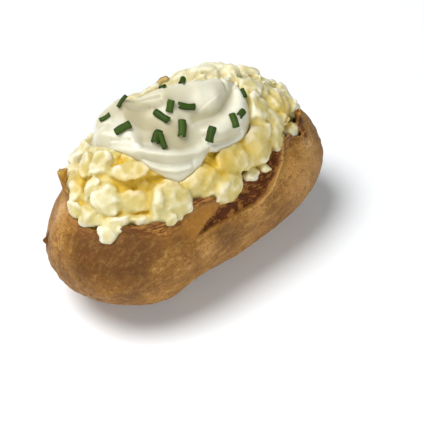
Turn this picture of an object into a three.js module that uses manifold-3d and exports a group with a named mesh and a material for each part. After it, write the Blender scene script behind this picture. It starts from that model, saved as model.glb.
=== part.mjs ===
// A large baked potato, torn open along its top, with the fluffed flesh heaped out of the split,
// a dollop of sour cream on the heap and snips of chive on the cream.
// Millimetres, +Z up, X along the potato. The origin is under the middle of the whole, on the table.
import * as THREE from "three";
import { mergeVertices } from "three/addons/utils/BufferGeometryUtils.js";
import Module from "manifold-3d";

// Potato: half sizes, how blunt each end is, and how the form leaves a plain ellipsoid.
const HALF_LENGTH = 63;
const HALF_WIDTH = 34;
const HALF_HEIGHT = 29.9;
const BLUNT_LEFT = 2.6;
const BLUNT_RIGHT = 2.3;
const WIDER_RIGHT = 0.03;
const TALLER_RIGHT = 0.043;
const FRONT_BULGE = 0.107;
const BULGE_AT = -0.55;
const BULGE_SPREAD = 0.45;
const BEND = -4.5;
const BEND_LEVEL = 0.35;
const REST_FLAT = 1.5;
const MIDDLE = [-0.34, 0.83];

// Jacket: the skin with the layer of potato that clings to it.
const WALL = 2.8;
const RIM_WALL = 1.3;
const RIM_UP = 36;
const THINS_FROM = 0.8;
const MM_PER_DEGREE = 0.55;
const JACKET_AROUND = 76;
const JACKET_ROWS = 15;
const WALL_ROWS = 7;
const COLUMN_CROWDING = 0.3;
const ROW_CROWDING = 0.75;
const WALL_CROWDING = 0.55;
const SKIN_WAVE = { height: 0.35, around: 4.1, up: 3 };

// Lumps and dents of the skin: degrees around, degrees up, spread in degrees, height in mm.
const LUMPS = [
  [-109, -33, 8, -2.4],
  [-112, -8, 14, -0.8],
  [-126, -33, 12, 1.4],
  [-88, -33, 13, 0.8],
  [-25, -15, 24, 1.2],
  [-160, -30, 14, -0.6],
  [165, -8, 24, 1.4],
  [120, -5, 18, -0.9],
  [60, 5, 20, 0.7],
  [90, -30, 22, -0.6],
];

// Torn rim: its ripple in mm, its lean in radians, and its flaps as degrees around, spread in
// degrees, height in mm and outward lean in radians. A flap reaches its lean LEAN_RUN mm up.
const RIM_RIPPLE = { rise: 1, wide: 0.7, fine: 0.5 };
const RIM_LEAN = -0.3;
const LEAN_RUN = 6;
const LEAN_START = 0.4;
const FLAPS = [
  [-113, 9, 5, -0.5],
  [-49, 5, 2.5, 0],
  [-35, 7, -4, 0],
  [-20, 6, 3.5, 0],
  [152, 15, 5, 0.15],
  [112, 10, 5, 0.35],
  [76, 13, 20, -0.05],
  [38, 12, 6, 0.4],
];

// Tear in the front: along X in mm, its lower edge and the edge of the skin above it in degrees up.
const TEAR_LOW = [[-24, 22], [-12, 21], [0, 18.5], [10, 17], [18, 21], [23, 29], [28, 35], [34, 50]];
const TEAR_HIGH = [[-24, 22], [-20, 25.5], [-15, 29], [-9, 31], [-4, 38], [0, 90]];
// Its depth and slopes, its reach in degrees around, and where along X it opens and closes.
const TEAR_DEPTH = 2;
const TEAR_SLOPE = 2.5;
const TEAR_REACH = 70;
const TEAR_OPENS = [-26, -12];
const TEAR_CLOSES = [36, 32];
// The raised lip below it: height, how far below, spread, and where it swells and fades.
const TEAR_LIP = 1.3;
const LIP_BELOW = 1.2;
const LIP_SPREAD = 2.6;
const LIP_OPENS = [0, 14];
const LIP_CLOSES = [38, 32];

// Heap: the dome that the flesh rises to, and what the cream rests on.
const DOME_CENTRE = [0.5, 3, 45];
const DOME = [52.5, 24.5, 28.5];
const DOME_PLAN = 2.3;
const DOME_RISE = 1.75;
const CORE_UNDER = 1.5;
const SHELF_DROP = 14;
const CORE_LOWEST = -18;
const CORE_AROUND = 54;
const CORE_ROWS = 13;
const BED_OVER = 0.5;
const GAP = 0.55;

// Chunks of flesh: degrees around, degrees up the dome, length, width, turn from level in degrees,
// and how far out of the dome they are pushed.
const CHUNKS = [
  [138, 20, 11, 9, 40, 2], [134, 27, 8, 6, 20, 2], [136, 33, 8, 6, 0, 1], [173, 36, 9, 5, 80, 0],
  [159, 20, 9, 6, 80, 0], [178, 23, 10, 6, 75, 0], [190, 27, 8, 4, 45, 0], [191, 16, 8, 7, 90, 0],
  [200, 10, 7, 5, 60, 0], [187, 43, 12, 10, 95, 0], [213, 41, 13, 7, 0, 0], [207, 25, 12, 11, 80, 0],
  [214, 12, 13, 7, 0, 0], [223, 24, 12, 11, 30, 0], [229, 7, 11, 6, 5, 0], [235, 6, 7, 5, 0, 0],
  [213, 4, 9, 8, 90, 6], [242, 12, 18, 15, 70, 0], [258, 22, 18, 13, 15, 0], [257, 10, 6, 4, 0, 0],
  [269, 3, 16, 13, 75, 2], [282, 18, 14, 9, 70, 0], [292, 18, 20, 11, 85, 0], [284, -1, 8, 6, 20, 1],
  [293, -5, 6, 5, 0, 1], [19, 53, 9, 7, 0, 2], [18, 37, 11, 8, 0, 1], [337, 49, 10, 7, 70, 0],
  [310, 42, 13, 9, 80, 0], [312, 36, 14, 5, 80, 0], [37, 54, 9, 7, 0, 2], [326, 29, 11, 10, 20, 0],
  [313, 24, 10, 8, 0, 0], [317, 4, 7, 6, 0, 0], [308, 19, 7, 6, 0, 0], [349, 18, 8, 6, 0, 1],
  [336, 7, 8, 7, 90, 1], [81, 50, 8, 6, 0, 0], [65, 51, 9, 7, 0, 2], [50, 52, 9, 7, 0, 2],
  [94, 50, 10, 8, 0, 1], [105, 47, 11, 9, 0, 2], [115, 42, 12, 9, 20, 3], [166, 44, 8, 6, 0, 0],
];
const CHUNK_THICK = { share: 0.45, least: 1.2 };
const CHUNK_UNEVEN = [0.86, 1.16];
const FINE_CHUNK = 13.5;
const HEAP_SEED = 11;
const BUMPS = 110;
const BUMP_STRAY = 8;
const BUMP_RISE = [0.97, -0.23];
const BUMP_RADIUS = [4, 7];
const BUMP_HEIGHT = [2, 4.5];

// Sour cream: outline on the heap seen from above, thickness, and its folds as ridges from
// one point to another with a height and a half width.
const CREAM_OUTLINE = [
  [-33.5, 4.5], [-36, 10], [-34, 16.5], [-27, 20.5], [-18, 18.5], [-10, 13.5], [0, 8.5], [8, 6.5], [14, 2.5],
  [20, 2], [25, -1], [25, -6], [22.5, -12], [17, -16.5], [9, -17.5], [2, -17.5], [-3, -16.5], [-8, -18],
  [-14, -18.5], [-20, -17.5], [-24, -14], [-27, -10], [-30, -3],
];
const CREAM_CENTRE = [-6, -2];
const CREAM_THICK = 3.8;
const CREAM_SUNK = 2;
const CREAM_GAP = 0.66;
const EDGE_GAP = 4;
const CREAM_FOLDS = [
  [-32, 13, -12, 14, 2.6, 6],
  [-10, 10, 10, 2, 1, 4],
  [-35, 6, -26, -2, 1.6, 3.5],
  [-26, -12, -14, -20, 1.5, 3.5],
  [14, -3, 20, -12, 1.2, 4],
  [-1, -16, 14, -19, 1.4, 3.5],
  [-10, -2, -4, -10, -1.2, 7],
];
const CREAM_AROUND = 38;
const CREAM_ROWS = 7;
const CREAM_UNDER_ROWS = 3;
const EDGE_STEPS = 240;

// Chive snips: x, y, length, radius, degrees around and degrees of lean.
const CHIVES = [
  [-26, 11.5, 5, 1.5, 150, 0], [-16.5, 13.5, 5.5, 1.5, 95, 0], [-26.5, 3, 6.2, 1.7, 170, 0],
  [-7.5, 0.7, 4.6, 1.6, 42, 25], [-12.3, -1, 6.5, 1.6, 100, 0], [-2.8, -2.9, 6.3, 1.6, 140, 0],
  [-9, -7.7, 6.6, 1.7, 52, 0], [-19, -5.3, 5.6, 1.7, 32, 0], [-17.6, -8.3, 7.2, 1.5, 72, 12],
  [-1.5, -12.5, 6, 1.7, 54, 0], [10.4, -12, 5.5, 1.6, 90, 0], [14.7, -11.3, 3.2, 1.6, 58, 0],
  [21, -5.6, 4, 1.5, 84, 0], [3, 4.5, 4.2, 1.6, 60, 20], [-4, 7, 4, 1.5, 150, 0],
];
const CHIVE_WALL = 0.6;
const CHIVE_LIFT = 0.6;
const CHIVE_SIDES = 6;

const wasm = await Module();
wasm.setup();

const degrees = Math.PI / 180;
const clamp = (t) => Math.min(1, Math.max(0, t));
const smooth = (from, to, t) => {
  const c = clamp((t - from) / (to - from));
  return c * c * (3 - 2 * c);
};
const bell = (t, spread) => Math.exp(-((t / spread) ** 2));
const GOLDEN_ANGLE = 137.508;
const WELD = 1e-4;
const turnGap = (a, b) => ((((a - b) % 360) + 540) % 360) - 180;

// The same draws every time, between 0 and 1.
function draws(seed) {
  let state = seed;
  return () => {
    state = (Math.imul(state, 1664525) + 1013904223) >>> 0;
    return state / 2 ** 32;
  };
}

// Height of a broken line given as [x, height] points.
function along(line, x) {
  if (x <= line[0][0]) return line[0][1];
  for (let i = 1; i < line.length; i++) {
    const [x0, h0] = line[i - 1];
    const [x1, h1] = line[i];
    if (x <= x1) return h0 + ((h1 - h0) * (x - x0)) / (x1 - x0);
  }
  return line[line.length - 1][1];
}

// Potato surface in a direction given in degrees around and up, `inset` mm under the skin,
// lifted by `relief` mm, and flat where it rests.
function potatoPoint(around, up, inset, relief = 0) {
  const dx = Math.cos(around * degrees) * Math.cos(up * degrees);
  const dy = Math.sin(around * degrees) * Math.cos(up * degrees);
  const dz = Math.sin(up * degrees);
  const blunt = dx < 0 ? BLUNT_LEFT : BLUNT_RIGHT;
  const reach = (Math.abs(dx) ** blunt + Math.hypot(dy, dz) ** blunt) ** (-1 / blunt);
  const s = reach * dx;
  const bulge = dy < 0 ? FRONT_BULGE * bell(s - BULGE_AT, BULGE_SPREAD) : 0;
  const width = HALF_WIDTH * (1 + WIDER_RIGHT * s + bulge) - inset + relief;
  const height = HALF_HEIGHT * (1 + TALLER_RIGHT * s) - inset + relief;
  const z = HALF_HEIGHT - REST_FLAT + height * reach * dz;
  return new THREE.Vector3(
    (HALF_LENGTH - inset + relief) * s,
    BEND * (s * s - BEND_LEVEL) + width * reach * dy,
    Math.max(z, inset),
  );
}

// Lumps, dents and the torn strip of the skin, in mm outward.
function skinRelief(around, up) {
  const wave = Math.sin((SKIN_WAVE.around * around + SKIN_WAVE.up * up) * degrees);
  let relief = SKIN_WAVE.height * wave * Math.cos(up * degrees);
  for (const [at, height, spread, lift] of LUMPS) {
    const across = turnGap(around, at) * Math.cos(up * degrees);
    relief += lift * bell(Math.hypot(across, up - height), spread);
  }
  return relief;
}

// Relief of the tear: a sunken strip over a raised lip. The inside of the wall follows the strip
// alone. `climb` is the height of the direction seen from the potato's end, in degrees.
function tearRelief(around, up, inside) {
  if (Math.abs(turnGap(around, -90)) > TEAR_REACH) return 0;
  const x = potatoPoint(around, up, 0).x;
  const level = -Math.sin(around * degrees) * Math.cos(up * degrees);
  const climb = Math.atan2(Math.sin(up * degrees), level) / degrees;
  const over = climb - along(TEAR_LOW, x);
  const under = along(TEAR_HIGH, x) - climb;
  const open = smooth(...TEAR_OPENS, x) * smooth(...TEAR_CLOSES, x);
  const strip = TEAR_DEPTH * open * smooth(0, TEAR_SLOPE, over) * smooth(0, TEAR_SLOPE, under);
  const swell = smooth(...LIP_OPENS, x) * smooth(...LIP_CLOSES, x);
  const lip = TEAR_LIP * swell * bell(over + LIP_BELOW, LIP_SPREAD);
  return inside ? -strip : lip - strip;
}

// How far the torn edge stands above the rim line, and how it leans.
function rimFlap(around) {
  const wide = RIM_RIPPLE.wide * Math.sin(7 * around * degrees + 1);
  const fine = RIM_RIPPLE.fine * Math.sin(13 * around * degrees);
  let rise = RIM_RIPPLE.rise + wide + fine;
  let lean = RIM_LEAN;
  for (const [at, spread, height, outward] of FLAPS) {
    const share = bell(turnGap(around, at), spread);
    rise += height * share;
    lean += (outward - RIM_LEAN) * share;
  }
  return { rise, lean };
}

// A point of the jacket's face: `share` runs from the middle of the underside to the torn edge.
function jacketPoint(around, share, inset, grow) {
  const { rise, lean } = rimFlap(around);
  const length = (90 + RIM_UP) * MM_PER_DEGREE;
  const run = share * (length + rise + grow);
  const up = Math.min(run, length) / MM_PER_DEGREE - 90;
  const inside = inset > WALL / 2;
  const relief = tearRelief(around, up, inside) + (inside ? 0 : skinRelief(around, up));
  const thin = inside ? (WALL - RIM_WALL) * smooth(THINS_FROM, 1, share) : 0;
  const point = potatoPoint(around, up, inset - thin, relief);
  const stand = Math.max(0, run - length);
  const outward = point.clone().sub(potatoPoint(around, up, inset - thin + 1, relief)).setZ(0).normalize();
  const tilt = lean * Math.min(1, stand / LEAN_RUN + LEAN_START);
  return point.addScaledVector(outward, stand * Math.sin(tilt)).setZ(point.z + stand * Math.cos(tilt));
}

// Columns are crowded along the flanks, where the potato is longest.
function columnAngle(i) {
  const turn = (i / JACKET_AROUND) * 2 * Math.PI;
  return (turn + (COLUMN_CROWDING / 2) * Math.sin(2 * turn)) / degrees;
}

// A closed skin over rings of points, with a single point closing the first and the last ring.
function closedRings(rings, first, last) {
  const around = rings[0].length;
  const vertices = [...rings.flat(), first, last];
  const faces = [];
  const at = (ring, i) => ring * around + (i % around);
  for (let i = 0; i < around; i++) {
    faces.push([rings.length * around, at(0, i + 1), at(0, i)]);
    for (let ring = 0; ring + 1 < rings.length; ring++) {
      faces.push([at(ring, i), at(ring, i + 1), at(ring + 1, i + 1)]);
      faces.push([at(ring, i), at(ring + 1, i + 1), at(ring + 1, i)]);
    }
    faces.push([at(rings.length - 1, i), at(rings.length - 1, i + 1), rings.length * around + 1]);
  }
  return solidFrom(vertices, faces);
}

function solidFrom(vertices, faces) {
  const vertProperties = Float32Array.from(vertices.flatMap((v) => [v.x, v.y, v.z]));
  const triVerts = Uint32Array.from(faces.flat());
  return new wasm.Manifold(new wasm.Mesh({ numProp: 3, vertProperties, triVerts }));
}

// The geometry by its positions alone, with shared corners merged.
function welded(geometry) {
  geometry.deleteAttribute("normal");
  geometry.deleteAttribute("uv");
  return mergeVertices(geometry, WELD);
}

function solidOf(geometry) {
  const vertProperties = Float32Array.from(geometry.attributes.position.array);
  const triVerts = Uint32Array.from(geometry.index.array);
  return new wasm.Manifold(new wasm.Mesh({ numProp: 3, vertProperties, triVerts }));
}

function geometryOf(solid) {
  const mesh = solid.getMesh();
  const geometry = new THREE.BufferGeometry();
  geometry.setAttribute("position", new THREE.BufferAttribute(mesh.vertProperties, 3));
  geometry.setIndex(new THREE.BufferAttribute(mesh.triVerts, 1));
  geometry.computeVertexNormals();
  return geometry;
}

function largestPart(solid) {
  return solid.decompose().sort((a, b) => b.volume() - a.volume())[0];
}

// The jacket, or with `grow` the space that it and a gap around it take up.
function jacketSolid(grow) {
  const rings = [];
  for (let row = 1; row <= JACKET_ROWS; row++) {
    const share = (row / JACKET_ROWS) ** ROW_CROWDING;
    rings.push(ringOf((around) => jacketPoint(around, share, -grow, grow)));
  }
  for (let row = WALL_ROWS; row >= 1; row--) {
    const share = (row / WALL_ROWS) ** WALL_CROWDING;
    rings.push(ringOf((around) => jacketPoint(around, share, WALL + grow, grow)));
  }
  return closedRings(rings, potatoPoint(0, -90, -grow), potatoPoint(0, -90, WALL + grow));
}

function ringOf(pointAt) {
  return Array.from({ length: JACKET_AROUND }, (_, i) => pointAt(columnAngle(i)));
}

// Inside of the potato up to the rim line, out to the middle of the jacket's wall.
function potatoCore() {
  const rings = [];
  for (let row = 1; row <= WALL_ROWS; row++) {
    const up = (row / WALL_ROWS) ** ROW_CROWDING * (90 + RIM_UP - SHELF_DROP) - 90;
    rings.push(ringOf((around) => potatoPoint(around, up, WALL / 2)));
  }
  return closedRings(rings, potatoPoint(0, -90, WALL / 2), new THREE.Vector3(0, 0, DOME_CENTRE[2]));
}

// Direction out of the dome at a point given in shares of its half sizes.
function domeNormal(p, q, rise) {
  const plan = (Math.abs(p) ** DOME_PLAN + Math.abs(q) ** DOME_PLAN) ** (1 / DOME_PLAN) || 1e-6;
  const level = plan ** (DOME_RISE - DOME_PLAN);
  return new THREE.Vector3(
    (level * Math.sign(p) * Math.abs(p) ** (DOME_PLAN - 1)) / DOME[0],
    (level * Math.sign(q) * Math.abs(q) ** (DOME_PLAN - 1)) / DOME[1],
    (Math.sign(rise) * Math.abs(rise) ** (DOME_RISE - 1)) / DOME[2],
  ).normalize();
}

// Point of the heap's dome and the direction out of it, from degrees around and up.
function domePoint(around, up) {
  const ahead = Math.cos(around * degrees);
  const aside = Math.sin(around * degrees);
  const reach = (Math.abs(ahead) ** DOME_PLAN + Math.abs(aside) ** DOME_PLAN) ** (-1 / DOME_PLAN);
  const level = Math.cos(up * degrees) ** (2 / DOME_RISE) * reach;
  const rise = Math.sign(up) * Math.abs(Math.sin(up * degrees)) ** (2 / DOME_RISE);
  const point = new THREE.Vector3(ahead * level, aside * level, rise).multiply(new THREE.Vector3(...DOME));
  point.add(new THREE.Vector3(...DOME_CENTRE));
  return { point, normal: domeNormal(ahead * level, aside * level, rise) };
}

// Loose lumps all over the dome, as points of it with a radius and a height.
function domeBumps(random) {
  return Array.from({ length: BUMPS }, (_, i) => {
    const around = i * GOLDEN_ANGLE + BUMP_STRAY * random();
    const up = Math.asin(THREE.MathUtils.lerp(...BUMP_RISE, (i + 0.5) / BUMPS)) / degrees;
    return {
      point: domePoint(around, up).point,
      radius: THREE.MathUtils.lerp(...BUMP_RADIUS, random()),
      height: THREE.MathUtils.lerp(...BUMP_HEIGHT, random()),
    };
  });
}

function domeCore(random) {
  const bumps = domeBumps(random);
  const lumpy = (around, up) => {
    const { point, normal } = domePoint(around, up);
    let rise = 0;
    for (const bump of bumps) {
      const off = point.distanceTo(bump.point) / bump.radius;
      if (off < 1) rise = Math.max(rise, bump.height * Math.sqrt(1 - off * off));
    }
    return point.addScaledVector(normal, rise - CORE_UNDER);
  };
  const rings = [];
  for (let row = 0; row < CORE_ROWS; row++) {
    const up = CORE_LOWEST + ((90 - CORE_LOWEST) * row) / CORE_ROWS;
    rings.push(Array.from({ length: CORE_AROUND }, (_, i) => lumpy((i * 360) / CORE_AROUND, up)));
  }
  const bottom = rings[0].reduce((sum, point) => sum.add(point), new THREE.Vector3());
  return closedRings(rings, bottom.divideScalar(CORE_AROUND), lumpy(0, 90));
}

// One lump of flesh: a rounded block with uneven corners, lying on the dome.
function chunkSolid([around, up, long, wide, turn, out], random) {
  const fine = long >= FINE_CHUNK;
  const lump = welded(fine ? new THREE.IcosahedronGeometry(1, 1) : new THREE.DodecahedronGeometry(1));
  const { point, normal } = domePoint(around, up);
  point.addScaledVector(normal, out);
  const level = new THREE.Vector3(0, 0, 1).cross(normal).normalize();
  const upSlope = normal.clone().cross(level);
  const lengthways = level.clone().multiplyScalar(Math.cos(turn * degrees));
  lengthways.addScaledVector(upSlope, Math.sin(turn * degrees));
  const across = normal.clone().cross(lengthways);
  const thick = CHUNK_THICK.share * wide + CHUNK_THICK.least;
  const place = lump.attributes.position;
  for (let i = 0; i < place.count; i++) {
    const corner = new THREE.Vector3().fromBufferAttribute(place, i);
    const uneven = THREE.MathUtils.lerp(...CHUNK_UNEVEN, random());
    const spot = point.clone().addScaledVector(lengthways, (corner.x * uneven * long) / 2);
    spot.addScaledVector(across, (corner.y * uneven * wide) / 2);
    spot.addScaledVector(normal, corner.z * uneven * thick);
    place.setXYZ(i, spot.x, spot.y, spot.z);
  }
  return solidOf(lump);
}

function fleshSolid(jacketSpace, creamSpace) {
  const random = draws(HEAP_SEED);
  const chunks = CHUNKS.map((chunk) => chunkSolid(chunk, random));
  const heap = wasm.Manifold.union([potatoCore(), domeCore(random), ...chunks]);
  return largestPart(heap.subtract(jacketSpace).subtract(creamSpace));
}

// Where the cream lies on the heap at x, y, and the direction out of the heap there.
function creamBed(x, y) {
  const half = DOME.map((size) => size + BED_OVER);
  const p = (x - DOME_CENTRE[0]) / half[0];
  const q = (y - DOME_CENTRE[1]) / half[1];
  const plan = (Math.abs(p) ** DOME_PLAN + Math.abs(q) ** DOME_PLAN) ** (DOME_RISE / DOME_PLAN);
  const rise = Math.max(0.1, 1 - plan) ** (1 / DOME_RISE);
  const point = new THREE.Vector3(x, y, DOME_CENTRE[2] + half[2] * rise);
  return { point, normal: domeNormal(p, q, rise) };
}

function foldHeight(x, y) {
  let height = 0;
  for (const [x0, y0, x1, y1, lift, spread] of CREAM_FOLDS) {
    const ridge = new THREE.Line3(new THREE.Vector3(x0, y0, 0), new THREE.Vector3(x1, y1, 0));
    const nearest = ridge.closestPointToPoint(new THREE.Vector3(x, y, 0), true, new THREE.Vector3());
    height += lift * bell(Math.hypot(x - nearest.x, y - nearest.y), spread);
  }
  return height;
}

const creamCorners = CREAM_OUTLINE.map(([x, y]) => new THREE.Vector3(x, y, 0));
const creamEdge = new THREE.CatmullRomCurve3(creamCorners, true);
const creamRim = creamEdge.getPoints(EDGE_STEPS);

// How far x, y lies from the middle of the cream towards its edge, as a share.
function creamShare(x, y) {
  const way = new THREE.Vector2(x - CREAM_CENTRE[0], y - CREAM_CENTRE[1]);
  let nearest = Infinity;
  let reach = 1;
  for (const edge of creamRim) {
    const spoke = new THREE.Vector2(edge.x - CREAM_CENTRE[0], edge.y - CREAM_CENTRE[1]);
    const turn = Math.abs(way.angleTo(spoke));
    if (turn < nearest) {
      nearest = turn;
      reach = spoke.length();
    }
  }
  return way.length() / reach;
}

// Height of the cream's upper face over its bed.
function creamHeight(x, y, share) {
  return (CREAM_THICK + foldHeight(x, y)) * Math.sqrt(Math.max(0, 1 - share ** 6));
}

// Upper (side 1) or lower (side -1) face of the cream, from its middle (share 0) to its edge.
function creamPoint(turn, share, side, grow) {
  const edge = creamEdge.getPoint(turn);
  const x = CREAM_CENTRE[0] + share * (edge.x - CREAM_CENTRE[0]);
  const y = CREAM_CENTRE[1] + share * (edge.y - CREAM_CENTRE[1]);
  const { point, normal } = creamBed(x, y);
  const lift = side > 0 ? creamHeight(x, y, share) : -CREAM_SUNK * Math.sqrt(1 - share ** 6);
  const outward = point.clone().sub(creamBed(...CREAM_CENTRE).point).projectOnPlane(normal).normalize();
  point.addScaledVector(outward, EDGE_GAP * grow * share ** 4);
  return point.addScaledVector(normal, lift + side * grow);
}

function creamSolid(grow) {
  const rings = [];
  const ring = (share, side) =>
    Array.from({ length: CREAM_AROUND }, (_, i) => creamPoint(-i / CREAM_AROUND, share, side, grow));
  for (let row = 1; row <= CREAM_UNDER_ROWS; row++) {
    rings.push(ring(row / (CREAM_UNDER_ROWS + 1), -1));
  }
  for (let row = CREAM_ROWS; row >= 1; row--) {
    rings.push(ring(Math.sin((row / CREAM_ROWS) * 90 * degrees), 1));
  }
  return closedRings(rings, creamPoint(0, 0, -1, grow), creamPoint(0, 0, 1, grow));
}

// A hollow snip of chive lying on the cream.
function chiveSolid([x, y, long, radius, around, lean]) {
  const inner = radius - CHIVE_WALL;
  const profile = [
    new THREE.Vector2(inner, -long / 2),
    new THREE.Vector2(radius, -long / 2),
    new THREE.Vector2(radius, long / 2),
    new THREE.Vector2(inner, long / 2),
    new THREE.Vector2(inner, -long / 2),
  ];
  const geometry = new THREE.LatheGeometry(profile, CHIVE_SIDES);
  geometry.rotateZ(-90 * degrees);
  geometry.rotateY(-lean * degrees);
  geometry.rotateZ(around * degrees);
  const { point, normal } = creamBed(x, y);
  const surface = point.addScaledVector(normal, creamHeight(x, y, creamShare(x, y)) + radius * CHIVE_LIFT);
  geometry.applyQuaternion(new THREE.Quaternion().setFromUnitVectors(new THREE.Vector3(0, 0, 1), normal));
  geometry.translate(surface.x, surface.y, surface.z);
  return solidOf(welded(geometry));
}

function creamAndChives() {
  return largestPart(wasm.Manifold.union([creamSolid(0), ...CHIVES.map(chiveSolid)]));
}

function piece(name, solid, color, roughness) {
  const material = new THREE.MeshStandardMaterial({ color, roughness, metalness: 0 });
  const mesh = new THREE.Mesh(geometryOf(solid), material);
  mesh.name = name;
  return mesh;
}

const potato = new THREE.Group();
potato.add(piece("jacket", jacketSolid(0), 0x9a6a3c, 0.65));
potato.add(piece("flesh", fleshSolid(jacketSolid(GAP), creamSolid(CREAM_GAP)), 0xf3e3a0, 0.6));
potato.add(piece("sour_cream", creamAndChives(), 0xf4f1e6, 0.4));
potato.position.set(-MIDDLE[0], -MIDDLE[1], 0);

export default potato;
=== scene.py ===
"""Looks of a large baked potato: torn jacket, fluffed flesh, sour cream and snips of chive.

Forms are worked out in millimetres, in coordinates with the middle of the potato's length at
x = 0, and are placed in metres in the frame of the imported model.
"""
import math

import bpy
import numpy as np
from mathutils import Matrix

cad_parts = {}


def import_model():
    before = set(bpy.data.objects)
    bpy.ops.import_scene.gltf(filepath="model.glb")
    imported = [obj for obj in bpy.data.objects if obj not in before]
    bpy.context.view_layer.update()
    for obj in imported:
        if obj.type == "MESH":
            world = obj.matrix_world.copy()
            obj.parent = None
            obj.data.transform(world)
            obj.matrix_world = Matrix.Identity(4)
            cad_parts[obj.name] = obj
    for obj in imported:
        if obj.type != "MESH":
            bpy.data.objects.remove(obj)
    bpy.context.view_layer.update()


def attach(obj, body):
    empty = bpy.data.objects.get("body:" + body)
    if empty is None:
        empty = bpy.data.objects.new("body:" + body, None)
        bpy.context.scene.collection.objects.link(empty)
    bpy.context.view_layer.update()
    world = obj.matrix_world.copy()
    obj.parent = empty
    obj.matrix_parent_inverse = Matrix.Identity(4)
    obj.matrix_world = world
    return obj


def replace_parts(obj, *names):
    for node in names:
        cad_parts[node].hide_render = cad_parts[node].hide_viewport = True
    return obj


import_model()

import openvdb
from mathutils import Vector

MM = 0.001
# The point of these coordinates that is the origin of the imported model's frame.
MIDDLE = np.array([-0.34, 0.83, 0.0])

# Potato: half sizes, how blunt each end is, and how the form leaves a plain ellipsoid.
HALF_LENGTH = 63
HALF_WIDTH = 34
HALF_HEIGHT = 29.9
BLUNT_LEFT = 2.6
BLUNT_RIGHT = 2.3
WIDER_RIGHT = 0.03
TALLER_RIGHT = 0.043
FRONT_BULGE = 0.107
BULGE_AT = -0.55
BULGE_SPREAD = 0.45
BEND = -4.5
BEND_LEVEL = 0.35
REST_FLAT = 1.5

# Jacket: the skin and what clings to it. It thins towards its rim.
WALL = 2.8
RIM_WALL = 1.0
RIM_THINS = (0.8, 1)
RIM_UP = 36
MM_PER_DEGREE = 0.55

# Mesh of the jacket, and how its columns and rows crowd together.
JACKET_AROUND = 460
JACKET_ROWS = 165
WALL_ROWS = 26
COLUMN_CROWDING = 0.3
ROW_CROWDING = 0.85
WALL_CROWDING = 0.55

# Lumps and dents of the skin: degrees around, degrees up, spread in degrees, height in mm.
LUMPS = [
    (-109, -33, 8, -2.4), (-112, -8, 14, -0.8), (-126, -33, 12, 1.4), (-88, -33, 13, 0.8),
    (-25, -15, 24, 1.2), (-160, -30, 14, -0.6), (165, -8, 24, 1.4), (120, -5, 18, -0.9),
    (60, 5, 20, 0.7), (90, -30, 22, -0.6), (155, 5, 2.0, 1.5), (150, 15, 8, -1.1),
]

# Long waves of the skin: height in mm, and how many there are around and up.
WAVE = 0.35
WAVES_AROUND = 4.1
WAVES_UP = 3

# Fine relief in layers of noise: height, size, and a shift that tells the layers apart.
WRINKLES = [(0.30, 7, 2), (0.16, 3, 3), (0.09, 1.4, 4)]
COARSE_WRINKLES = [(0.28, 3.2, 7), (0.24, 1.7, 8)]
LONG_FIBRES = [(0.35, 0.8, 5)]
FIBRE_STRETCH = [0.35, 1, 1]
SHORT_FIBRES = [(0.3, 1.3, 6)]
FLESH_GRAIN = [(0.17, 1.8, 20), (0.15, 1.0, 21)]

# Where coarse wrinkles set in towards each end along X, and their share at the right.
COARSE_LEFT = (-48, -57)
COARSE_RIGHT = (44, 54)
COARSE_SHARE = 0.7
SMOOTH_UNDER = 6

# Torn rim: rise, waves (height, number around, start in radians), teeth (height, numbers around of
# two sines, start of the second) and layers of noise.
RIM_RISE = 1
RIM_WAVES = [(0.7, 7, 1), (0.5, 13, 0)]
RIM_TEETH = (0.45, 41, 67, 2)
RIM_ROUGHNESS = [(0.5, 1.5, 0), (0.4, 0.6, 1)]
ROUGH_PER_DEGREE = 0.6

# Outward lean of the rim in radians, which grows from a least share over a height.
RIM_LEAN = -0.3
LEAN_LEAST = 0.4
LEAN_OVER = 6

# Flaps of the rim: degrees around, spread in degrees, height in mm, outward lean in radians.
FLAPS = [
    (-140, 13, 2.6, -0.1), (-113, 9, 5, -0.5), (-49, 5, 2.5, 0), (-35, 7, -4, 0), (-25, 6, 4.5, 0.3),
    (151, 12, 11, 0.24), (112, 10, 5, 0.35), (76, 11, 17.5, -0.05), (38, 12, 6, 0.4),
]

# The tall flap's place in the list, and the level where it leaves the potato's surface.
TALL_FLAP = 7
FLAP_FROM = 47

# Tear in the front: along X in mm, its lower edge and the edge of the skin above it in degrees up.
TEAR_LOW = [(-24, 22), (-12, 21), (0, 18.5), (10, 17), (18, 21), (23, 29), (28, 35), (34, 50)]
TEAR_HIGH = [(-24, 22), (-20, 25.5), (-15, 29), (-9, 31), (-4, 38), (0, 90)]
TEAR_STARTS = (-26, -12)
TEAR_ENDS = (36, 32)
TEAR_REACH = 70
TEAR_DEPTH = 2
TEAR_SLOPE = 1.6

# Lip under the tear, and a light line painted along its edge as a highlight: where each starts and ends
# along X, how many degrees it is below the tear, and its spread.
LIP_HEIGHT = 0.9
LIP = ((0, 14), (38, 32), 1.2, 2.6)
LIP_EDGE = ((0, 12), (38, 33), 0.2, 0.7)

# Heap: the dome that the flesh rises to, as a blunt ellipsoid.
DOME_CENTRE = np.array([0.5, 3, 45])
DOME = np.array([52.5, 24.5, 28.5])
DOME_PLAN = 2.3
DOME_RISE = 1.75
CORE_UNDER = 1.5
BED_OVER = 0.5

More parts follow.
